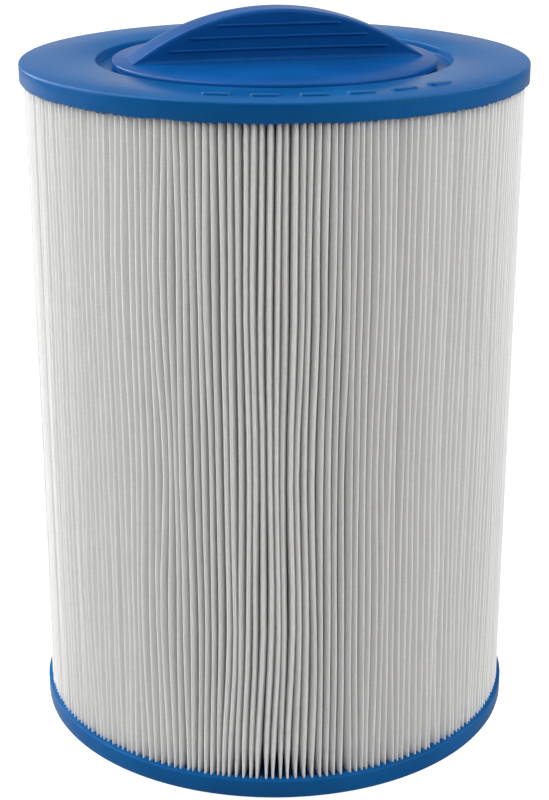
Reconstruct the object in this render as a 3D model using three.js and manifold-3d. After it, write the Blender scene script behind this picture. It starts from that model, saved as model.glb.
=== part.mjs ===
// A screw-in pleated filter cartridge for a pool or spa skimmer. Millimetres, +Z up. The origin is the
// centre of the threaded nipple's end face, and the grip fin runs along X. Water passes inwards through the
// pleated media and the core's slots, and leaves through the nipple. Both caps are cast round the other
// pieces, so neighbours that are bonded or potted on the real cartridge are one thin bond gap apart here.

import * as THREE from "three";
import { mergeVertices } from "three/addons/utils/BufferGeometryUtils.js";
import Module from "manifold-3d";

const wasm = await Module();
wasm.setup();

// Whole cartridge
const bodyRadius = 76.2;
const bodyLength = 209.6; // underside of the bottom cap to the top face of the upper ring
const bondGap = 0.3;
const roundSegments = 72;

// Top cap: a flat ring with a recess in its middle that holds the handle disc
const topBandHeight = 5.3;
const topEdgeChamfer = 1;
const recessDepth = 2.4;
const recessWeb = 1; // cap left between the recess floor and the pleat ends
const grooveWidth = 4.8; // ring of recess floor left open round the handle disc
const pottingCollar = 2; // how far the cap reaches down between the core and the pleats

// Raised plain bars on the ring
const markCount = 6;
const markLength = 8;
const markWidth = 3.5;
const markHeight = 0.5;
const markFirstAngle = -100;
const markStepAngle = 10.5;

// Handle: a disc with a half-moon grip fin above and a spigot that plugs the core below
const discRadius = 48.7;
const discEdgeChamfer = 0.6;
const finInset = 4.7; // disc edge to the end of the fin
const finHeight = 14.6;
const finWaistHalfWidth = 6.1;
const finFootHalfWidth = 8.2;
const finArcSteps = 28;
const finPlanSteps = 10;
const beadHeights = [3.4, 6.9, 10.4]; // middle of each bead above the disc
const beadEndInset = 5.5; // fin outline to the end of a bead
const beadThickness = 0.9;
const beadProud = 0.5;
const spigotLength = 8;
const spigotWall = 2.4;

// Core: a moulded tube with long slots, so that staves are left between two plain end bands
const coreRadius = 27;
const coreWall = 2.8;
const slotWidth = 11;
const slotsAround = 8;
const coreEndBand = 10; // plain tube at each end
const coreSegments = 32;

// Media: one strip of fabric folded into deep pleats, its two ends side by side at the seam
const pleatInset = 1.2; // cap edge to the outer folds
const pleatCoreGap = 3; // core to the inner folds
const mediaThickness = 0.35;
const pleatGap = 0.157; // free space between folds where they stand closest, round the core
const crestWidth = 0.9;
const fluteDepth = 2.5; // crest to valley on the pack's outer face
const foldsPerInnerFacet = 4;
const seamBeadThickness = 0.6;
const seamBeadInset = 1; // bead edge to the inner and the outer folds
const seamAngle = 118;

// Bottom cap
const bottomBandHeight = 6;
const bottomEdgeChamfer = 1;
const bottomWeb = 4; // cap below the pleat ends

// Threaded adapter: a 1 1/2 inch tapered pipe thread, 11.5 threads to the inch
const nippleLength = 22; // below the bottom cap
const nippleWall = 3.1; // under the thread
const nippleBoreFlare = 2; // length over which the bore meets the spigot
const nippleEndChamfer = 0.8;
const threadMajorRadius = 23.7; // at the nipple's end
const threadHeight = 1.6;
const threadPitch = 25.4 / 11.5;
const threadTaper = 1 / 32; // radius gained along the length
const threadCrest = 0.3;
const threadStart = 1.6; // nipple's end to the middle of the first turn
const threadRunout = 3; // plain neck under the bottom cap
const threadStepsPerTurn = 24;
const flangeReach = 7; // beyond the core and the thread
const flangeThickness = 2.5;

// Places worked out from the sizes above
const seatZ = nippleLength;
const topZ = seatZ + bodyLength;
const recessZ = topZ - recessDepth;
const recessRadius = discRadius + grooveWidth;
const discUnderZ = recessZ + bondGap;
const pleatOuterRadius = bodyRadius - pleatInset;
const pleatInnerRadius = coreRadius + pleatCoreGap;
const pleatBottomZ = seatZ + bottomWeb + bondGap;
const pleatTopZ = recessZ - recessWeb - bondGap;
const coreBoreRadius = coreRadius - coreWall;
const spigotRadius = coreBoreRadius - bondGap;
const flangeRadius = Math.max(coreRadius, threadMajorRadius) + flangeReach;
const flangeTopZ = seatZ + flangeThickness;
const coreBottomZ = flangeTopZ + bondGap;
const coreTopZ = discUnderZ - bondGap;
const threadRootRadius = threadMajorRadius - threadHeight;
const nippleBoreRadius = threadRootRadius - nippleWall;
const spigotBoreRadius = Math.min(nippleBoreRadius, spigotRadius - spigotWall);
const finHalfLength = discRadius - finInset;
const finArcRadius = (finHalfLength ** 2 + finHeight ** 2) / (2 * finHeight);

// A closed solid that can be joined and cut
function solid(geometry) {
  const bare = geometry.index ? geometry.toNonIndexed() : geometry;
  bare.deleteAttribute("normal");
  bare.deleteAttribute("uv");
  const merged = mergeVertices(bare, 1e-4);
  const mesh = new wasm.Mesh({
    numProp: 3,
    vertProperties: merged.attributes.position.array,
    triVerts: new Uint32Array(merged.index.array),
  });
  return new wasm.Manifold(mesh);
}

function named(name, body, look) {
  const { vertProperties, triVerts } = body.getMesh();
  const geometry = new THREE.BufferGeometry();
  geometry.setAttribute("position", new THREE.BufferAttribute(vertProperties, 3));
  geometry.setIndex(new THREE.BufferAttribute(triVerts, 1));
  geometry.computeVertexNormals();
  const mesh = new THREE.Mesh(geometry, new THREE.MeshStandardMaterial(look));
  mesh.name = name;
  return mesh;
}

// The outline is [radius, z] pairs, in order up its outer side. One that starts off the axis is closed on
// itself.
function revolve(outline, segments = roundSegments) {
  const points = outline.map(([radius, z]) => new THREE.Vector2(radius, z));
  if (points[0].x > 0) points.push(points[0].clone());
  const geometry = new THREE.LatheGeometry(points, segments);
  geometry.rotateX(Math.PI / 2);
  return solid(geometry);
}

function box(sizeX, sizeY, sizeZ, x, y, z) {
  return solid(new THREE.BoxGeometry(sizeX, sizeY, sizeZ).translate(x, y, z));
}

function turned(body, degrees) {
  return body.rotate([0, 0, degrees]);
}

// Cast ring with the recess for the handle disc, a skirt outside the pleats and a collar inside them
function topEndCap() {
  const webUnderZ = recessZ - recessWeb;
  let cap = revolve([
    [coreRadius + bondGap, webUnderZ - pottingCollar],
    [pleatInnerRadius - bondGap, webUnderZ - pottingCollar],
    [pleatInnerRadius - bondGap, webUnderZ],
    [pleatOuterRadius + bondGap, webUnderZ],
    [pleatOuterRadius + bondGap, topZ - topBandHeight],
    [bodyRadius, topZ - topBandHeight],
    [bodyRadius, topZ - topEdgeChamfer],
    [bodyRadius - topEdgeChamfer, topZ],
    [recessRadius, topZ],
    [recessRadius, recessZ],
    [coreRadius + bondGap, recessZ],
  ]);
  const markRadius = (recessRadius + bodyRadius) / 2;
  for (let i = 0; i < markCount; i++) {
    const mark = box(markWidth, markLength, 2 * markHeight, markRadius, 0, topZ);
    cap = cap.add(turned(mark, markFirstAngle + i * markStepAngle));
  }
  return cap;
}

// The fin's plan: two long sides that draw in towards the middle, moved out by the given amount
function finPlan(offset) {
  const plan = new THREE.Shape();
  const foot = finFootHalfWidth + offset;
  const draw = finFootHalfWidth - finWaistHalfWidth;
  const side = (x) => foot - draw * (1 - (x / finHalfLength) ** 2);
  plan.moveTo(-finHalfLength, -foot);
  for (let i = 1; i <= finPlanSteps; i++) {
    const x = finHalfLength * ((2 * i) / finPlanSteps - 1);
    plan.lineTo(x, -side(x));
  }
  for (let i = 0; i < finPlanSteps; i++) {
    const x = finHalfLength * (1 - (2 * i) / finPlanSteps);
    plan.lineTo(x, side(x));
  }
  plan.lineTo(-finHalfLength, foot);
  return plan;
}

function finSlab(offset, height, z) {
  const options = { depth: height, bevelEnabled: false };
  return solid(new THREE.ExtrudeGeometry(finPlan(offset), options).translate(0, 0, z));
}

// Half the fin's length at a height above the disc
function finHalfLengthAt(height) {
  return Math.sqrt(finArcRadius ** 2 - (finArcRadius - finHeight + height) ** 2);
}

function gripFin() {
  const arch = new THREE.Shape();
  const halfAngle = Math.asin(finHalfLength / finArcRadius);
  const footDepth = (topZ - discUnderZ) / 2;
  const crown = Math.PI / 2;
  arch.moveTo(-finHalfLength, -footDepth);
  arch.lineTo(finHalfLength, -footDepth);
  arch.absarc(0, finHeight - finArcRadius, finArcRadius, crown - halfAngle, crown + halfAngle, false);
  const width = 4 * finFootHalfWidth;
  const options = { depth: width, curveSegments: finArcSteps, bevelEnabled: false };
  const archGeometry = new THREE.ExtrudeGeometry(arch, options).translate(0, 0, -width / 2);
  archGeometry.rotateX(Math.PI / 2).translate(0, 0, topZ);
  let fin = solid(archGeometry).intersect(finSlab(0, 2 * finHeight, topZ - finHeight));
  for (const height of beadHeights) {
    const beadLength = 2 * (finHalfLengthAt(height) - beadEndInset);
    const bead = finSlab(beadProud, beadThickness, topZ + height - beadThickness / 2);
    const span = box(beadLength, width, 2 * beadThickness, 0, 0, topZ + height);
    fin = fin.add(bead.intersect(span));
  }
  return fin;
}

function handle() {
  const disc = revolve([
    [0, discUnderZ],
    [spigotRadius - spigotWall, discUnderZ],
    [spigotRadius - spigotWall, discUnderZ - spigotLength],
    [spigotRadius, discUnderZ - spigotLength],
    [spigotRadius, discUnderZ],
    [discRadius, discUnderZ],
    [discRadius, topZ - discEdgeChamfer],
    [discRadius - discEdgeChamfer, topZ],
    [0, topZ],
  ]);
  return disc.add(gripFin());
}

function coreTube() {
  let tube = revolve([
    [coreBoreRadius, coreBottomZ],
    [coreRadius, coreBottomZ],
    [coreRadius, coreTopZ],
    [coreBoreRadius, coreTopZ],
  ], coreSegments);
  const slotLength = coreTopZ - coreBottomZ - 2 * coreEndBand;
  const cut = box(2 * coreRadius, slotWidth, slotLength, coreRadius, 0, (coreTopZ + coreBottomZ) / 2);
  for (let i = 0; i < slotsAround; i++) {
    tube = tube.subtract(turned(cut, (i * 360) / slotsAround));
  }
  return tube;
}

// A point in plan at a radius, beside the line at the given angle in radians
function beside(radius, angle, sideways) {
  const turn = angle + sideways / radius;
  return new THREE.Vector2(radius * Math.cos(turn), radius * Math.sin(turn));
}

// The pleat pack as one closed body, open at the seam. Its outer face has the crest of every fold, with a
// short valley between crests. The deep part of the folds, where the fabric lies almost face to face, is
// solid.
function pleatedMedia() {
  const foldPitch = 2 * mediaThickness + pleatGap;
  const foldsRoom = Math.round((2 * Math.PI * pleatInnerRadius) / foldPitch);
  const step = (2 * Math.PI) / foldsRoom;
  const seamWidth = seamBeadThickness + 2 * bondGap;
  const folds = foldsRoom - Math.ceil((seamWidth + 2 * mediaThickness) / foldPitch);
  const seam = THREE.MathUtils.degToRad(seamAngle);
  const firstValley = seam + Math.PI - (folds * step) / 2;
  const outerFace = [beside(pleatOuterRadius, seam, seamWidth / 2)];
  outerFace.push(beside(pleatOuterRadius, seam, seamWidth / 2 + mediaThickness));
  const innerFace = [beside(pleatInnerRadius, seam, seamWidth / 2)];
  for (let i = 0; i <= folds; i++) {
    const valley = firstValley + i * step;
    outerFace.push(beside(pleatOuterRadius - fluteDepth, valley, 0));
    if (i % foldsPerInnerFacet === 0) innerFace.push(beside(pleatInnerRadius, valley, 0));
    if (i === folds) break;
    outerFace.push(beside(pleatOuterRadius, valley + step / 2, -crestWidth / 2));
    outerFace.push(beside(pleatOuterRadius, valley + step / 2, crestWidth / 2));
  }
  outerFace.push(beside(pleatOuterRadius, seam, -seamWidth / 2 - mediaThickness));
  outerFace.push(beside(pleatOuterRadius, seam, -seamWidth / 2));
  innerFace.push(beside(pleatInnerRadius, seam, -seamWidth / 2));
  const pack = new THREE.Shape([...outerFace, ...innerFace.reverse()]);
  const options = { depth: pleatTopZ - pleatBottomZ, bevelEnabled: false };
  return solid(new THREE.ExtrudeGeometry(pack, options).translate(0, 0, pleatBottomZ));
}

// Slab of adhesive between the pack's two ends
function mediaSeamBead() {
  const depth = pleatOuterRadius - pleatInnerRadius - 2 * seamBeadInset;
  const middle = (pleatOuterRadius + pleatInnerRadius) / 2;
  const height = pleatTopZ - pleatBottomZ;
  const slab = box(depth, seamBeadThickness, height, middle, 0, pleatBottomZ + height / 2);
  return turned(slab, seamAngle);
}

// Cast ring round the adapter's flange, with a skirt outside the pleats and a collar inside them
function bottomEndCap() {
  const webTopZ = seatZ + bottomWeb;
  return revolve([
    [flangeRadius + bondGap, seatZ],
    [bodyRadius - bottomEdgeChamfer, seatZ],
    [bodyRadius, seatZ + bottomEdgeChamfer],
    [bodyRadius, seatZ + bottomBandHeight],
    [pleatOuterRadius + bondGap, seatZ + bottomBandHeight],
    [pleatOuterRadius + bondGap, webTopZ],
    [pleatInnerRadius - bondGap, webTopZ],
    [pleatInnerRadius - bondGap, webTopZ + pottingCollar],
    [coreRadius + bondGap, webTopZ + pottingCollar],
    [coreRadius + bondGap, flangeTopZ + bondGap],
    [flangeRadius + bondGap, flangeTopZ + bondGap],
  ]);
}

// A bar of thread section wound round the tapered nipple, sunk into it at both ends
function threadRidge() {
  const sunk = 0.5;
  const flank = (threadHeight + sunk) * Math.tan(Math.PI / 6);
  const section = new THREE.Shape([
    new THREE.Vector2(-sunk, -threadCrest / 2 - flank),
    new THREE.Vector2(threadHeight, -threadCrest / 2),
    new THREE.Vector2(threadHeight, threadCrest / 2),
    new THREE.Vector2(-sunk, threadCrest / 2 + flank),
  ]);
  const steps = Math.floor(((nippleLength - threadStart - threadRunout) / threadPitch) * threadStepsPerTurn);
  const turns = steps / threadStepsPerTurn;
  const bar = new THREE.ExtrudeGeometry(section, { depth: turns, steps, bevelEnabled: false });
  const place = bar.getAttribute("position");
  for (let i = 0; i < place.count; i++) {
    const turn = place.getZ(i);
    const full = Math.min(1, 0.1 + 2 * Math.min(turn, turns - turn));
    const height = threadStart + turn * threadPitch - place.getY(i);
    const out = (place.getX(i) + sunk) * full - sunk;
    const radius = threadRootRadius + threadTaper * height + out;
    const angle = 2 * Math.PI * turn;
    place.setXYZ(i, radius * Math.cos(angle), radius * Math.sin(angle), height);
  }
  return solid(bar);
}

// Threaded nipple, the flange that the bottom cap is cast round, and the spigot that centres the core
function threadedAdapter() {
  const body = revolve([
    [nippleBoreRadius, 0],
    [threadRootRadius - nippleEndChamfer, 0],
    [threadRootRadius, nippleEndChamfer],
    [threadRootRadius + threadTaper * nippleLength, nippleLength],
    [flangeRadius, seatZ],
    [flangeRadius, flangeTopZ],
    [spigotRadius, flangeTopZ],
    [spigotRadius, flangeTopZ + spigotLength],
    [spigotBoreRadius, flangeTopZ + spigotLength],
    [spigotBoreRadius, seatZ],
    [nippleBoreRadius, seatZ - nippleBoreFlare],
  ], threadStepsPerTurn);
  return body.add(threadRidge());
}

const castBlue = { color: 0x1268ab, roughness: 0.3, metalness: 0 };
const mouldedBlue = { color: 0x10539c, roughness: 0.35, metalness: 0 };
const mediaWhite = { color: 0xe6e5e3, roughness: 0.9, metalness: 0 };
const beadClear = { color: 0xd9d3c0, roughness: 0.4, metalness: 0 };
const coreWhite = { color: 0xdedfdd, roughness: 0.5, metalness: 0 };

const cartridge = new THREE.Group();
cartridge.add(
  named("top_end_cap", topEndCap(), castBlue),
  named("handle", handle(), mouldedBlue),
  named("core_tube", coreTube(), coreWhite),
  named("pleated_media", pleatedMedia(), mediaWhite),
  named("media_seam_bead", mediaSeamBead(), beadClear),
  named("bottom_end_cap", bottomEndCap(), castBlue),
  named("threaded_adapter", threadedAdapter(), mouldedBlue),
);

export default cartridge;
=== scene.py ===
"""The looks of the screw-in pleated filter cartridge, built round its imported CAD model. Metres, +Z up."""

import bisect
import math
import random

import bmesh
import bpy
from mathutils import Matrix, Vector, noise


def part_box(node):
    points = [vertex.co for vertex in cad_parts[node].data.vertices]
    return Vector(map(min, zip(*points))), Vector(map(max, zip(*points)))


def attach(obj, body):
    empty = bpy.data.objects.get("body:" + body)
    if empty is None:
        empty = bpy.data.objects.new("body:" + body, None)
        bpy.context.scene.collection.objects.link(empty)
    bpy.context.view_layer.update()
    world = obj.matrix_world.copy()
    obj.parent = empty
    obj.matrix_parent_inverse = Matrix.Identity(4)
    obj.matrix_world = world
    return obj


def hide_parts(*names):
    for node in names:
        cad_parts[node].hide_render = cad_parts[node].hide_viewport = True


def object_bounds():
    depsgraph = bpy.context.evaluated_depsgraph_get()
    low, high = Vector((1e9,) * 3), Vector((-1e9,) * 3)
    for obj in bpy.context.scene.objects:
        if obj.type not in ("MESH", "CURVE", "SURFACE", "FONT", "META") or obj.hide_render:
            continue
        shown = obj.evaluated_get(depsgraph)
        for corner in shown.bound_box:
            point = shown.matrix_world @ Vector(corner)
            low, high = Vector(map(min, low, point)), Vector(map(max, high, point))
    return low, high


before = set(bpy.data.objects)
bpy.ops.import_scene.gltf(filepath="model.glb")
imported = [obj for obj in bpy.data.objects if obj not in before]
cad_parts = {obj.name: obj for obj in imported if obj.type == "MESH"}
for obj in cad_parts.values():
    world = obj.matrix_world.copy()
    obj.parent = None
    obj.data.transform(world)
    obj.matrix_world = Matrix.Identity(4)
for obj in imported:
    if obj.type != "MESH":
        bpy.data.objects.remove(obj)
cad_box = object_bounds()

# Camera. It stands half a metre from the cartridge, a little to the left of square on to the fin, above
# the top cap and tilted down at it through a long lens.
seat_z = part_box("bottom_end_cap")[0][2]
view_yaw = math.radians(11.7)
view_tilt = math.radians(20.28)
view_right = Vector((math.cos(view_yaw), -math.sin(view_yaw), 0))
view_ahead = Vector((math.sin(view_yaw), math.cos(view_yaw), 0))
camera_data = bpy.data.cameras.new("camera")
camera_data.lens = 77.4
camera = bpy.data.objects.new("camera", camera_data)
camera.location = -0.5196 * view_ahead + Vector((0, 0, seat_z + 0.2917))
camera.rotation_euler = (math.pi / 2 - view_tilt, 0, -view_yaw)
bpy.context.collection.objects.link(camera)
bpy.context.scene.camera = camera

# Studio. A pale floor that runs out of sight, a large soft box on either side, a weak one in front, one
# overhead and a low grey-white board far behind that the flat top faces mirror. Light that comes from
# nowhere in particular is weak, but the camera sees plain white past the floor.
scene = bpy.context.scene
scene.view_settings.view_transform = "Standard"
world = bpy.data.worlds.new("studio")
scene.world = world
world.use_nodes = True
world.node_tree.nodes["Background"].inputs["Color"].default_value = (1.0, 0.985, 0.97, 1)
world_path = world.node_tree.nodes.new("ShaderNodeLightPath")
world_glow = world.node_tree.nodes.new("ShaderNodeMath")
world_glow.operation = "MULTIPLY_ADD"
world_glow.inputs[1].default_value = 1.03
world_glow.inputs[2].default_value = 0.17
world.node_tree.links.new(world_path.outputs["Is Camera Ray"], world_glow.inputs[0])
world.node_tree.links.new(world_glow.outputs[0], world.node_tree.nodes["Background"].inputs["Strength"])
middle = Vector((0, 0, (cad_box[0][2] + cad_box[1][2]) / 2))


def softbox(name, right, ahead, height, wide, tall, glow, aim=middle):
    light = bpy.data.lights.new(name, "AREA")
    light.shape = "RECTANGLE"
    light.size = wide
    light.size_y = tall
    light.energy = glow * math.pi * wide * tall
    lamp = bpy.data.objects.new(name, light)
    lamp.location = right * view_right + ahead * view_ahead + Vector((0, 0, height))
    lamp.rotation_euler = (lamp.location - aim).to_track_quat("Z", "Y").to_euler()
    bpy.context.collection.objects.link(lamp)
    return lamp


softbox("left_box", -1.0, 0.3, 0.85, 2.0, 1.7, 3.7)
softbox("right_box", 1.05, -0.15, 0.85, 1.8, 1.7, 2.05)
softbox("front_box", 0.0, -1.7, 1.1, 1.4, 0.8, 0.7)
softbox("back_board", 0.0, 2.4, 0.33, 4.4, 0.66, 0.3, Vector((0, 0, 0.33)))
softbox("top_box", 0.0, 0.1, 1.6, 1.2, 1.0, 0.3)

floor_mesh = bpy.data.meshes.new("floor")
floor_build = bmesh.new()
bmesh.ops.create_grid(floor_build, x_segments=1, y_segments=1, size=8)
floor_build.to_mesh(floor_mesh)
floor_build.free()
floor = bpy.data.objects.new("floor", floor_mesh)
bpy.context.collection.objects.link(floor)
pale = bpy.data.materials.new("pale_floor")
pale.use_nodes = True
pale_shader = pale.node_tree.nodes["Principled BSDF"]
pale_shader.inputs["Base Color"].default_value = (0.35, 0.35, 0.35, 1)
pale_shader.inputs["Roughness"].default_value = 0.7
pale_shader.inputs["Emission Color"].default_value = (1, 1, 1, 1)
pale_path = pale.node_tree.nodes.new("ShaderNodeLightPath")
pale_glow = pale.node_tree.nodes.new("ShaderNodeMath")
pale_glow.operation = "MULTIPLY"
pale_glow.inputs[1].default_value = 0.95
pale.node_tree.links.new(pale_path.outputs["Is Camera Ray"], pale_glow.inputs[0])
pale.node_tree.links.new(pale_glow.outputs[0], pale_shader.inputs["Emission Strength"])
floor_mesh.materials.append(pale)

# Pleated media. Spunbonded polyester about a third of a millimetre thick, one long strip folded back and
# forth between the core and the cap's edge. The folds are set by hand round the core, so their crests
# stand unevenly, lean a little and are pinched where the lower cap's casting holds them.
pack_low, pack_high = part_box("pleated_media")
media_outer = pack_high[0]
media_inner = 0.0302
media_thick = 0.00035
fold_room = 220
seam_room = 3
fold_count = fold_room - seam_room
fold_step = 2 * math.pi / fold_room
seam_angle = math.radians(118)
seam_half = 0.0003 + 0.0003 + media_thick / 2
first_valley = seam_angle + seam_room * fold_step / 2
cap_rim_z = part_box("bottom_end_cap")[1][2]
top_rim_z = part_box("top_end_cap")[0][2]
rows = [0, 0.0017, 0.0032, 0.0050, 0.0072, 0.0098, 0.0130, 0.018, 0.026, 0.037, 0.050, 0.065,
        0.081, 0.097, 0.113, 0.129, 0.145, 0.160, 0.174, 0.186, 0.194, 0.198, 1]
rows[-1] = pack_high[2] - pack_low[2]
pleat_random = random.Random(41)


def smooth(t):
    t = min(1.0, max(0.0, t))
    return t * t * (3 - 2 * t)


def drifting(count, knots, neighbours, spread):
    """For each fold, values at a few heights, random and averaged with the neighbouring folds'."""
    raw = [[pleat_random.gauss(0, 1) for _ in range(knots)] for _ in range(count)]
    weight = spread / math.sqrt(2 * neighbours + 1)
    near = range(-neighbours, neighbours + 1)
    return [
        [weight * sum(raw[(i + d) % count][k] for d in near) for k in range(knots)]
        for i in range(count)
    ]


def at_height(values, share):
    place = share * (len(values) - 1)
    low = min(int(place), len(values) - 2)
    return values[low] + (values[low + 1] - values[low]) * smooth(place - low)


lean = drifting(fold_count, 5, 4, 0.0006)
sway = drifting(fold_count, 7, 0, 0.00016)
fullness = drifting(fold_count, 5, 0, 0.09)
retreat = [abs(pleat_random.gauss(0, 0.00020)) for _ in range(fold_count)]
crest_half = 0.00029
belly_half = 0.00082
belly_depth = 0.0022
crest_rise = 0.0005
crest_least = 0.00150


def crest_angles(height):
    """Where every crest stands at one height, with crests that would touch pushed apart."""
    share = height / rows[-1]
    shift = [at_height(lean[i], share) + at_height(sway[i], share) for i in range(fold_count)]
    pitch = fold_step * media_outer
    for _ in range(12):
        for i in range(fold_count - 1):
            short = crest_least - (pitch + shift[i + 1] - shift[i])
            if short > 0:
                shift[i] -= short / 2
                shift[i + 1] += short / 2
    shift[0] = max(shift[0], -0.0003)
    shift[-1] = min(shift[-1], 0.0003)
    middles = [first_valley + (i + 0.5) * fold_step for i in range(fold_count)]
    return [middles[i] + shift[i] / media_outer for i in range(fold_count)]


def fold_section(height):
    """The strip's middle line at one height, as (radius, angle) pairs from one end to the other."""
    share = height / rows[-1]
    low_pinch = 1 - smooth((pack_low[2] + height - cap_rim_z + 0.001) / 0.012)
    high_pinch = 1 - smooth((top_rim_z - pack_low[2] - height + 0.001) / 0.006)
    crest_pinch = 1 - 0.3 * low_pinch - 0.1 * high_pinch
    belly_pinch = 1 - 0.62 * low_pinch - 0.2 * high_pinch
    seam_out = media_outer - 0.0004
    seam_deep = media_outer - 0.008
    line = [(seam_out, seam_angle + seam_half / seam_out)]
    line.append((seam_deep, seam_angle + seam_half / seam_deep))
    for i, crest in enumerate(crest_angles(height)):
        full = 1 + at_height(fullness[i], share)
        tip = media_outer - media_thick / 2 - retreat[i] * (1 - 0.5 * low_pinch)
        belly = tip - belly_depth
        line.append((media_inner, first_valley + i * fold_step))
        line.append((belly, crest - belly_half * belly_pinch * full / belly))
        for turn in (180, 135, 90, 45, 0):
            bend = math.radians(turn)
            radius = tip - crest_rise * (1 - math.sin(bend))
            line.append((radius, crest + crest_half * crest_pinch * full * math.cos(bend) / radius))
        line.append((belly, crest + belly_half * belly_pinch * full / belly))
    line.append((media_inner, first_valley + fold_count * fold_step))
    line.append((seam_deep, seam_angle + 2 * math.pi - seam_half / seam_deep))
    line.append((seam_out, seam_angle + 2 * math.pi - seam_half / seam_out))
    return line


sections = [fold_section(height) for height in rows]
columns = len(sections[0])
media_build = bmesh.new()
media_uv = media_build.loops.layers.uv.new("cloth")
bmesh.ops.create_grid(media_build, x_segments=columns - 1, y_segments=len(rows) - 1, size=1)
middle_section = sections[len(rows) // 2]
run_lengths = [0.0]
for before, after in zip(middle_section, middle_section[1:]):
    across = (after[1] - before[1]) * (before[0] + after[0]) / 2
    run_lengths.append(run_lengths[-1] + math.hypot(after[0] - before[0], across))
for face in media_build.faces:
    face.smooth = True
    for loop in face.loops:
        column = round((loop.vert.co.x + 1) / 2 * (columns - 1))
        row = round((loop.vert.co.y + 1) / 2 * (len(rows) - 1))
        loop[media_uv].uv = (run_lengths[column], rows[row])
for vert in media_build.verts:
    column = round((vert.co.x + 1) / 2 * (columns - 1))
    row = round((vert.co.y + 1) / 2 * (len(rows) - 1))
    radius, angle = sections[row][column]
    vert.co = (radius * math.cos(angle), radius * math.sin(angle), pack_low[2] + rows[row])
media_mesh = bpy.data.meshes.new("media_folds")
media_build.to_mesh(media_mesh)
media_build.free()
media = bpy.data.objects.new("media_folds", media_mesh)
bpy.context.collection.objects.link(media)
media_wall = media.modifiers.new("thickness", "SOLIDIFY")
media_wall.thickness = media_thick
media_wall.offset = 0


def material_with(name):
    """A new material, its node tree and its Principled shader."""
    made = bpy.data.materials.new(name)
    made.use_nodes = True
    return made, made.node_tree, made.node_tree.nodes["Principled BSDF"]


def node_in(tree, kind, **settings):
    made = tree.nodes.new(kind)
    for key, value in settings.items():
        setattr(made, key, value)
    return made


polyester, polyester_tree, polyester_shader = material_with("spunbond_polyester")
cloth_map = node_in(polyester_tree, "ShaderNodeUVMap", uv_map="cloth")
fibre_heights = []
for index, slant in enumerate((18, -35, 76)):
    fibre_place = node_in(polyester_tree, "ShaderNodeMapping")
    fibre_place.inputs["Rotation"].default_value[2] = math.radians(slant)
    fibre_place.inputs["Scale"].default_value = (420, 5200, 1)
    fibre_noise = node_in(polyester_tree, "ShaderNodeTexNoise", noise_dimensions="2D")
    fibre_noise.inputs["Scale"].default_value = 1
    fibre_noise.inputs["Detail"].default_value = 3
    fibre_noise.inputs["Distortion"].default_value = 0.6
    polyester_tree.links.new(cloth_map.outputs["UV"], fibre_place.inputs["Vector"])
    polyester_tree.links.new(fibre_place.outputs["Vector"], fibre_noise.inputs["Vector"])
    fibre_heights.append(fibre_noise.outputs["Fac"])
fibre_pair = node_in(polyester_tree, "ShaderNodeMath", operation="MAXIMUM")
fibre_all = node_in(polyester_tree, "ShaderNodeMath", operation="MAXIMUM")
polyester_tree.links.new(fibre_heights[0], fibre_pair.inputs[0])
polyester_tree.links.new(fibre_heights[1], fibre_pair.inputs[1])
polyester_tree.links.new(fibre_pair.outputs[0], fibre_all.inputs[0])
polyester_tree.links.new(fibre_heights[2], fibre_all.inputs[1])
fibre_colour = node_in(polyester_tree, "ShaderNodeValToRGB")
fibre_colour.color_ramp.elements[0].position = 0.42
fibre_colour.color_ramp.elements[0].color = (0.83, 0.828, 0.82, 1)
fibre_colour.color_ramp.elements[1].position = 0.72
fibre_colour.color_ramp.elements[1].color = (0.93, 0.928, 0.92, 1)
polyester_tree.links.new(fibre_all.outputs[0], fibre_colour.inputs["Fac"])
polyester_tree.links.new(fibre_colour.outputs["Color"], polyester_shader.inputs["Base Color"])
fibre_bump = node_in(polyester_tree, "ShaderNodeBump")
fibre_bump.inputs["Strength"].default_value = 0.35
fibre_bump.inputs["Distance"].default_value = 0.00008
polyester_tree.links.new(fibre_all.outputs[0], fibre_bump.inputs["Height"])
polyester_tree.links.new(fibre_bump.outputs["Normal"], polyester_shader.inputs["Normal"])
polyester_shader.inputs["Roughness"].default_value = 0.88
polyester_shader.inputs["Specular IOR Level"].default_value = 0.3
media_mesh.materials.append(polyester)
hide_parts("pleated_media")
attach(media, "root")


# Bottom end cap. Cast polyurethane, poured into a shallow pan with the pleats standing in it, so it creeps
# up into every gap between two folds and sets there as a small tooth. Its rim and its flat underside copy
# the pan.
cap_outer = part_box("bottom_end_cap")[1][0]
cap_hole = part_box("threaded_adapter")[1][0] + 0.0003
cap_round = 0.001
lip_round = 0.0003
cap_bore = 0.0273
collar_radius = 0.0297
cap_floor_z = seat_z + 0.0028
tooth_random = random.Random(5)
tooth_heights = [tooth_random.uniform(0.0005, 0.0012) for _ in range(fold_count + 1)]
cap_steps = 880


def spun(outline, steps):
    """A bmesh spun full circle round Z from (radius, z) pairs, with its faces outwards."""
    build = bmesh.new()
    verts = [build.verts.new((radius, 0, z)) for radius, z in outline]
    edges = [build.edges.new(pair) for pair in zip(verts, verts[1:])]
    bmesh.ops.spin(build, geom=verts + edges, cent=(0, 0, 0), axis=(0, 0, 1), dvec=(0, 0, 0),
                   angle=2 * math.pi, steps=steps, use_merge=True, use_duplicate=False)
    bmesh.ops.remove_doubles(build, verts=build.verts, dist=1e-7)
    bmesh.ops.recalc_face_normals(build, faces=build.faces)
    return build


def finished(name, build, sharp=40):
    """The object made from a bmesh, smooth except across edges sharper than the given angle."""
    for face in build.faces:
        face.smooth = True
    for edge in build.edges:
        edge.smooth = len(edge.link_faces) < 2 or edge.calc_face_angle(0) < math.radians(sharp)
    mesh = bpy.data.meshes.new(name)
    build.to_mesh(mesh)
    build.free()
    made = bpy.data.objects.new(name, mesh)
    bpy.context.collection.objects.link(made)
    return made


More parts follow.
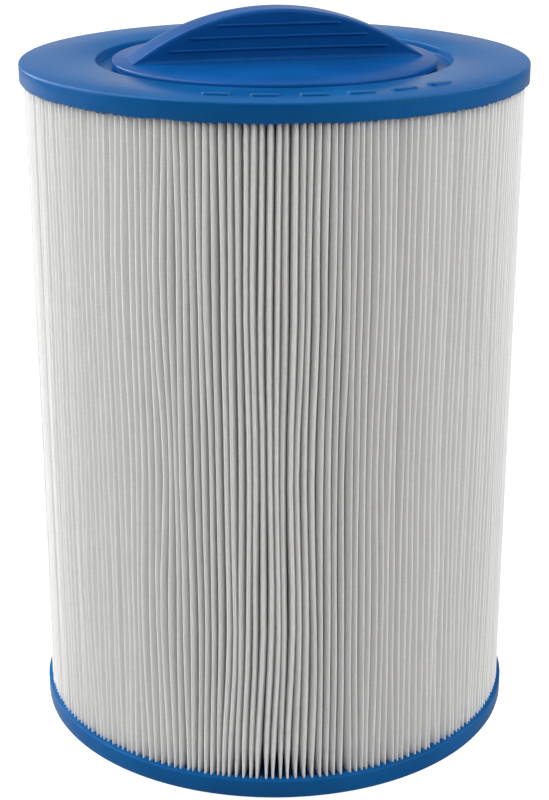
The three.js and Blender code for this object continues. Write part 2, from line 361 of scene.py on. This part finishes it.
def corner(radius, z, size, start, turn, steps=4):
    """Points of a rounded corner round (radius, z), from one angle through a turn, both in degrees."""
    angles = [math.radians(start + turn * i / steps) for i in range(steps + 1)]
    return [(radius + size * math.cos(a), z + size * math.sin(a)) for a in angles]


def tooth_at(angle, crests):
    """How far the casting creeps up at this angle: a tooth in the gap between two crests."""
    along = first_valley + (angle - first_valley) % (2 * math.pi)
    after = bisect.bisect(crests, along)
    low = crests[after - 1] if after else crests[0] - fold_step
    high = crests[after] if after < fold_count else crests[-1] + fold_step
    aside = abs(2 * (along - low) / (high - low) - 1)
    return tooth_heights[after] * max(0.0, 1 - 1.5 * aside)


bottom_outline = [(collar_radius, cap_rim_z - 0.0006), (collar_radius, cap_rim_z),
                  (cap_bore, cap_rim_z), (cap_bore, cap_floor_z), (cap_hole, cap_floor_z),
                  (cap_hole, seat_z + lip_round), (cap_hole + lip_round, seat_z)]
bottom_outline += corner(cap_outer - cap_round, seat_z + cap_round, cap_round, -90, 90)
bottom_outline += corner(cap_outer - lip_round, cap_rim_z - lip_round, lip_round, 0, 90, 3)
bottom_outline += [(0.0753, cap_rim_z), (0.0746, cap_rim_z + 0.0001), (0.0735, cap_rim_z - 0.0003),
                   (0.070, cap_rim_z - 0.0006), (collar_radius, cap_rim_z - 0.0006)]
bottom_build = spun(bottom_outline, cap_steps)
low_crests = crest_angles(rows[1])
for vert in bottom_build.verts:
    reach = math.hypot(vert.co.x, vert.co.y)
    if 0.072 < reach < 0.0752 and vert.co.z > cap_rim_z - 0.0005:
        creep = tooth_at(math.atan2(vert.co.y, vert.co.x), low_crests)
        vert.co.z += creep * (1 if reach > 0.074 else 0.75)
bottom_cap = finished("bottom_cap_casting", bottom_build)


def surface_grain_group():
    """Cast or moulded plastic's surface: slow ripple, fine grain, blotches of tint and small pits."""
    tree = bpy.data.node_groups.new("surface_grain", "ShaderNodeTree")
    given = {"Ripple Scale": 500, "Grain Scale": 5000, "Grain Share": 0.15, "Pit Scale": 260}
    for label, value in given.items():
        socket = tree.interface.new_socket(label, in_out="INPUT", socket_type="NodeSocketFloat")
        socket.default_value = value
    for label in ("Height", "Blotch", "Pit"):
        tree.interface.new_socket(label, in_out="OUTPUT", socket_type="NodeSocketFloat")
    inward = node_in(tree, "NodeGroupInput")
    outward = node_in(tree, "NodeGroupOutput")
    place = node_in(tree, "ShaderNodeTexCoord")
    ripple = node_in(tree, "ShaderNodeTexNoise")
    ripple.inputs["Detail"].default_value = 1
    grain = node_in(tree, "ShaderNodeTexNoise")
    grain.inputs["Detail"].default_value = 2
    blotch = node_in(tree, "ShaderNodeTexNoise")
    blotch.inputs["Scale"].default_value = 45
    blotch.inputs["Detail"].default_value = 3
    pit = node_in(tree, "ShaderNodeTexVoronoi")
    pit_mask = node_in(tree, "ShaderNodeMapRange")
    pit_mask.inputs["From Min"].default_value = 0.06
    pit_mask.inputs["From Max"].default_value = 0.03
    shared = node_in(tree, "ShaderNodeMath", operation="MULTIPLY_ADD")
    pitted = node_in(tree, "ShaderNodeMath", operation="SUBTRACT")
    for texture in (ripple, grain, blotch, pit):
        tree.links.new(place.outputs["Object"], texture.inputs["Vector"])
    tree.links.new(inward.outputs["Ripple Scale"], ripple.inputs["Scale"])
    tree.links.new(inward.outputs["Grain Scale"], grain.inputs["Scale"])
    tree.links.new(inward.outputs["Pit Scale"], pit.inputs["Scale"])
    tree.links.new(pit.outputs["Distance"], pit_mask.inputs["Value"])
    tree.links.new(grain.outputs["Fac"], shared.inputs[0])
    tree.links.new(inward.outputs["Grain Share"], shared.inputs[1])
    tree.links.new(ripple.outputs["Fac"], shared.inputs[2])
    tree.links.new(shared.outputs[0], pitted.inputs[0])
    tree.links.new(pit_mask.outputs["Result"], pitted.inputs[1])
    tree.links.new(pitted.outputs[0], outward.inputs["Height"])
    tree.links.new(blotch.outputs["Fac"], outward.inputs["Blotch"])
    tree.links.new(pit_mask.outputs["Result"], outward.inputs["Pit"])
    return tree


surface_grain = surface_grain_group()


def plastic(name, dark, light, roughness, bump_depth, bump_strength, **grain_values):
    """A plastic whose tint and gloss vary with the grain group's blotches, with its grain as a bump."""
    made, tree, shader = material_with(name)
    grain = node_in(tree, "ShaderNodeGroup", node_tree=surface_grain)
    for label, value in grain_values.items():
        grain.inputs[label.replace("_", " ")].default_value = value
    tint = node_in(tree, "ShaderNodeValToRGB")
    tint.color_ramp.elements[0].position = 0.35
    tint.color_ramp.elements[0].color = (*dark, 1)
    tint.color_ramp.elements[1].position = 0.65
    tint.color_ramp.elements[1].color = (*light, 1)
    gloss = node_in(tree, "ShaderNodeMapRange")
    gloss.inputs["From Min"].default_value = 0.3
    gloss.inputs["From Max"].default_value = 0.7
    gloss.inputs["To Min"].default_value = roughness * 0.85
    gloss.inputs["To Max"].default_value = roughness * 1.2
    bump = node_in(tree, "ShaderNodeBump")
    bump.inputs["Strength"].default_value = bump_strength
    bump.inputs["Distance"].default_value = bump_depth
    tree.links.new(grain.outputs["Blotch"], tint.inputs["Fac"])
    tree.links.new(grain.outputs["Blotch"], gloss.inputs["Value"])
    tree.links.new(grain.outputs["Height"], bump.inputs["Height"])
    tree.links.new(tint.outputs["Color"], shader.inputs["Base Color"])
    tree.links.new(gloss.outputs["Result"], shader.inputs["Roughness"])
    tree.links.new(bump.outputs["Normal"], shader.inputs["Normal"])
    shader.inputs["Specular IOR Level"].default_value = 0.1
    return made


cast_blue = plastic("cast_urethane_blue", (0.003, 0.094, 0.30), (0.004, 0.110, 0.34), 0.2, 0.00004,
                    0.25, Ripple_Scale=420, Grain_Scale=4500, Grain_Share=0.12, Pit_Scale=150)
bottom_cap.data.materials.append(cast_blue)
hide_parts("bottom_end_cap")
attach(bottom_cap, "root")

# Top end cap. The same urethane, cast in a mould that leaves a flat ring with a rounded rim and a shallow
# recess for the handle's disc. It was poured with the cartridge upside down, so its lower edge is ragged
# between the folds. Six plain raised bars stand on the front of the ring.
fin_height = 0.0146
ring_top_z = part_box("handle")[1][2] - fin_height
recess_depth = 0.0024
recess_floor_z = ring_top_z - recess_depth
recess_radius = 0.0535
recess_round = 0.0005
step_round = 0.0004
ring_round = 0.0006
top_under_z = top_rim_z + 0.0005
top_outline = [(cap_bore, top_under_z), (cap_bore, recess_floor_z)]
top_outline += corner(recess_radius - recess_round, recess_floor_z + recess_round, recess_round,
                      -90, 90, 3)
top_outline += corner(recess_radius + step_round, ring_top_z - step_round, step_round, 180, -90, 3)
top_outline += corner(cap_outer - ring_round, ring_top_z - ring_round, ring_round, 90, -90, 5)
top_outline += corner(cap_outer - lip_round, top_rim_z + lip_round, lip_round, 0, -90, 3)
top_outline += [(0.0755, top_rim_z), (0.0748, top_under_z - 0.0001), (0.0735, top_under_z + 0.0002),
                (cap_bore, top_under_z)]
top_build = spun(top_outline, cap_steps)
high_crests = crest_angles(rows[-2])
for vert in top_build.verts:
    reach = math.hypot(vert.co.x, vert.co.y)
    if reach > 0.073 and vert.co.z < top_under_z + 0.0004:
        droop = tooth_at(math.atan2(vert.co.y, vert.co.x), high_crests)
        patch = smooth(0.5 + 2.5 * noise.noise(Vector((vert.co.x, vert.co.y, 0)) * 60))
        vert.co.z -= droop * patch * (0.5 if reach > 0.0752 else 0.9)
        vert.co.z += 0.0003 * noise.noise(Vector((vert.co.x, vert.co.y, 0)) * 150)
bar_length = 0.008
bar_width = 0.0035
bar_height = 0.0005
bar_first = -115.5
bar_step = 11.6
for index in range(6):
    bar = bmesh.ops.create_cube(top_build, size=1)["verts"]
    bmesh.ops.scale(top_build, vec=(bar_width, bar_length, 2 * bar_height), verts=bar)
    bmesh.ops.translate(top_build, vec=((recess_radius + cap_outer) / 2, 0, ring_top_z), verts=bar)
    upright = [e for e in top_build.edges if e.verts[0] in bar and e.verts[1] in bar
               and abs(e.verts[0].co.z - e.verts[1].co.z) > bar_height]
    made = bmesh.ops.bevel(top_build, geom=upright, offset=0.0013, affect="EDGES", segments=5,
                           profile=0.5, material=-1)
    whole = {v for f in made["faces"] for v in f.verts} | {v for v in bar if v.is_valid}
    upper = [e for e in top_build.edges if e.verts[0] in whole and e.verts[1] in whole
             and min(v.co.z for v in e.verts) > ring_top_z + 0.9 * bar_height
             and e.calc_face_angle(0) > 0.5]
    made = bmesh.ops.bevel(top_build, geom=upper, offset=0.0003, affect="EDGES", segments=3,
                           profile=0.5, material=-1)
    whole = {v for v in whole if v.is_valid} | {v for f in made["faces"] for v in f.verts}
    bar_turn = Matrix.Rotation(math.radians(bar_step * index + bar_first), 3, "Z")
    bmesh.ops.rotate(top_build, cent=(0, 0, 0), matrix=bar_turn, verts=list(whole))
top_cap = finished("top_cap_casting", top_build)
top_cap.data.materials.append(cast_blue)
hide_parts("top_end_cap")
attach(top_cap, "root")

# Handle. One injection moulding: a flat disc bonded into the recess, a spigot that plugs the core below
# it and a half-moon fin with three fine ribs on each face, drawn in at its waist so that fingers can grip
# it.
disc_radius = 0.0487
disc_round = 0.0006
spigot_inner = 0.0215
spigot_outer = 0.0239
spigot_length = 0.008
fin_half = 0.044
fin_arc = (fin_half ** 2 + fin_height ** 2) / (2 * fin_height)
fin_waist = 0.0061
fin_foot = 0.0082
disc_under_z = recess_floor_z + 0.0003
disc_outline = [(0, disc_under_z), (spigot_inner, disc_under_z),
                (spigot_inner, disc_under_z - spigot_length),
                (spigot_outer, disc_under_z - spigot_length), (spigot_outer, disc_under_z),
                (disc_radius - 0.0003, disc_under_z), (disc_radius, disc_under_z + 0.0003)]
disc_outline += corner(disc_radius - disc_round, ring_top_z - disc_round, disc_round, 0, 90, 4)
disc_outline += [(0.02, ring_top_z), (0, ring_top_z)]
handle_build = spun(disc_outline, 192)


def fin_side(x):
    return fin_foot - (fin_foot - fin_waist) * (1 - (x / fin_half) ** 2)


def fin_top(x):
    return math.sqrt(fin_arc ** 2 - x * x) - fin_arc + fin_height


def fin_section(x):
    """Half the fin's outline across its length at x, as (y, height) pairs from its foot up."""
    side = fin_side(x)
    high = fin_top(x)
    edge = min(0.0011, 0.4 * high)
    flare = min(0.0012, 0.4 * high)
    points = [(side + flare, -0.0004)]
    points += [(side + flare * (1 - math.sin(a)), flare * (1 - math.cos(a)))
               for a in (math.radians(18 * i) for i in range(6))]
    points += [(side, flare + (high - edge - flare) * share) for share in (0.33, 0.67)]
    points += [(side - edge * (1 - math.cos(a)), high - edge * (1 - math.sin(a)))
               for a in (math.radians(18 * i) for i in range(6))]
    points += [(side * 0.5, high)]
    return points


fin_stations = 120
half_count = len(fin_section(0))
fin_grid = bmesh.ops.create_grid(handle_build, x_segments=fin_stations, y_segments=2 * half_count,
                                 size=1)
for vert in fin_grid["verts"]:
    share = vert.co.x
    x = fin_half * 0.9995 * math.sin(share * math.pi / 2)
    place = round((vert.co.y + 1) * half_count)
    half = fin_section(x) + [(0, fin_top(x))]
    across, height = half[place] if place <= half_count else half[2 * half_count - place]
    vert.co = (x, -across if place <= half_count else across, ring_top_z + height)
rim = [e for e in handle_build.edges if e.is_boundary]
bmesh.ops.holes_fill(handle_build, edges=rim, sides=0)
bead_end = 0.0055
bead_proud = 0.0005
bead_half_high = 0.00045
for bead_z in (0.0034, 0.0069, 0.0104):
    reach = math.sqrt(fin_arc ** 2 - (fin_arc - fin_height + bead_z) ** 2) - bead_end
    for side in (-1, 1):
        bead = bmesh.ops.create_grid(handle_build, x_segments=60, y_segments=8, size=1)["verts"]
        for vert in bead:
            x = reach * vert.co.x
            bend = math.pi / 2 * vert.co.y
            full = math.sqrt(min(1.0, max(0.0, (1 - abs(vert.co.x)) * reach / 0.0012)))
            out = fin_side(x) + (bead_proud * math.cos(bend)) * full - 0.0001
            vert.co = (x, side * out, ring_top_z + bead_z + bead_half_high * math.sin(bend) * full)
bmesh.ops.remove_doubles(handle_build, verts=handle_build.verts, dist=2e-6)
bmesh.ops.recalc_face_normals(handle_build, faces=handle_build.faces)
handle = finished("handle_moulding", handle_build)
# The moulded plastic's blue is its own colour, but it is set darker and deeper than the cast urethane's.
# The extra depth is painted shade for the fin's dimly lit front faces.
moulded_blue = plastic("moulded_blue", (0.003, 0.072, 0.27), (0.004, 0.086, 0.31), 0.2, 0.00002, 0.2,
                       Ripple_Scale=260, Grain_Scale=7000, Grain_Share=0.1, Pit_Scale=90)
handle.data.materials.append(moulded_blue)
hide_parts("handle")
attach(handle, "root")

# Threaded adapter. The same moulded plastic: a nipple with a tapered pipe thread, the flange that the
# lower cap is cast round and a spigot that centres the core.
nipple_length = seat_z
flange_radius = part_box("threaded_adapter")[1][0]
root_radius = 0.0221
taper = 1 / 32
nipple_outline = [(0.0193, 0), (root_radius - 0.0008, 0), (root_radius, 0.0008),
                  (root_radius + taper * 0.021, nipple_length - 0.001),
                  (root_radius + 0.0014, nipple_length - 0.0002)]
flange_outline = [(flange_radius - 0.0003, seat_z), (flange_radius, seat_z + 0.0003),
                  (flange_radius, seat_z + 0.0022), (flange_radius - 0.0003, seat_z + 0.0025)]
spigot_outline = [(spigot_outer, seat_z + 0.0025), (spigot_outer, seat_z + 0.0102),
                  (0.0236, seat_z + 0.0105), (0.0190, seat_z + 0.0105), (0.0190, 0.0003), (0.0193, 0)]
adapter_build = spun(nipple_outline + flange_outline + spigot_outline, 144)
thread_pitch = 0.0254 / 11.5
thread_low = 0.0016
thread_turns = math.floor((nipple_length - thread_low - 0.003) / thread_pitch * 24) / 24
thread_steps = round(thread_turns * 72)
thread_section = [(-0.0005, -0.00136), (0.0014, -0.00026), (0.0016, -0.00012), (0.0016, 0.00012),
                  (0.0014, 0.00026), (-0.0005, 0.00136)]
ridge = bmesh.ops.create_grid(adapter_build, x_segments=thread_steps,
                              y_segments=len(thread_section) - 1, size=1)
for vert in ridge["verts"]:
    turn = (vert.co.x + 1) / 2 * thread_turns
    out, rise = thread_section[round((vert.co.y + 1) / 2 * (len(thread_section) - 1))]
    full = smooth(min(turn, thread_turns - turn) / 0.5)
    height = thread_low + turn * thread_pitch + rise
    radius = root_radius + taper * height + (out + 0.0005) * full - 0.0005
    vert.co = (radius * math.cos(2 * math.pi * turn), radius * math.sin(2 * math.pi * turn), height)
bmesh.ops.recalc_face_normals(adapter_build, faces=adapter_build.faces)
adapter = finished("adapter_moulding", adapter_build, 35)
adapter.data.materials.append(moulded_blue)
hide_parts("threaded_adapter")
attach(adapter, "root")

# Core. A moulded tube with eight long slots that let the filtered water through to the outlet. The pleats
# stand round it, and its ends are cast into the caps.
core_low, core_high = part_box("core_tube")
core_radius = core_high[0]
core_wall = 0.0028
slots = 8
slot_width = 0.011
slot_half = math.asin(slot_width / 2 / core_radius)
end_band = 0.010
slot_cells = 8
stave_cells = 8
core_levels = [core_low[2], core_low[2] + end_band, core_high[2] - end_band, core_high[2]]
core_build = bmesh.new()
around = slots * (slot_cells + stave_cells)
bmesh.ops.create_grid(core_build, x_segments=around, y_segments=len(core_levels) - 1, size=1)
open_faces = []
for face in core_build.faces:
    middle_place = face.calc_center_median()
    cell = int((middle_place.x + 1) / 2 * around)
    if cell % (slot_cells + stave_cells) < slot_cells and abs(middle_place.y) < 0.33:
        open_faces.append(face)
for vert in core_build.verts:
    cell = round((vert.co.x + 1) / 2 * around)
    sector, inside = divmod(cell, slot_cells + stave_cells)
    stave = math.radians(360 / slots) - 2 * slot_half
    if inside <= slot_cells:
        angle = -slot_half + 2 * slot_half * inside / slot_cells
    else:
        angle = slot_half + stave * (inside - slot_cells) / stave_cells
    angle += sector * math.radians(360 / slots)
    level = core_levels[round((vert.co.y + 1) / 2 * (len(core_levels) - 1))]
    middle_radius = core_radius - core_wall / 2
    vert.co = (middle_radius * math.cos(angle), middle_radius * math.sin(angle), level)
bmesh.ops.delete(core_build, geom=open_faces, context="FACES")
bmesh.ops.remove_doubles(core_build, verts=core_build.verts, dist=1e-6)
bmesh.ops.recalc_face_normals(core_build, faces=core_build.faces)
core = finished("core_moulding", core_build)
core_thickness = core.modifiers.new("thickness", "SOLIDIFY")
core_thickness.thickness = core_wall
core_thickness.offset = 0
core_edges = core.modifiers.new("edges", "BEVEL")
core_edges.width = 0.0004
core_edges.segments = 2
core_plastic = plastic("core_plastic", (0.60, 0.61, 0.59), (0.68, 0.69, 0.67), 0.42, 0.00003, 0.3,
                       Ripple_Scale=160, Grain_Scale=6000, Grain_Share=0.4, Pit_Scale=60)
core.data.materials.append(core_plastic)
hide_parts("core_tube")
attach(core, "root")

# Seam bead. Hot melt adhesive laid between the strip's two ends to close the pleats into a ring, squeezed
# out a little along the outer edge.
bead_low, bead_high = 0.031, media_outer - 0.0008
bead_build = bmesh.new()
bmesh.ops.create_grid(bead_build, x_segments=8, y_segments=140, size=1)
for vert in bead_build.verts:
    height = pack_low[2] + (vert.co.y + 1) / 2 * rows[-1]
    squeeze = 0.0005 * noise.noise(Vector((0, 0, height)) * 90)
    radius = bead_low + (bead_high + squeeze - bead_low) * (vert.co.x + 1) / 2
    vert.co = (radius * math.cos(seam_angle), radius * math.sin(seam_angle), height)
seam_bead = finished("seam_adhesive_bead", bead_build)
bead_wall = seam_bead.modifiers.new("thickness", "SOLIDIFY")
bead_wall.thickness = 0.0006
bead_wall.offset = 0
seam_adhesive = plastic("seam_adhesive", (0.55, 0.50, 0.38), (0.66, 0.61, 0.48), 0.35, 0.00008, 0.4,
                        Ripple_Scale=350, Grain_Scale=2500, Grain_Share=0.2, Pit_Scale=200)
seam_bead.data.materials.append(seam_adhesive)
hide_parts("media_seam_bead")
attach(seam_bead, "root")
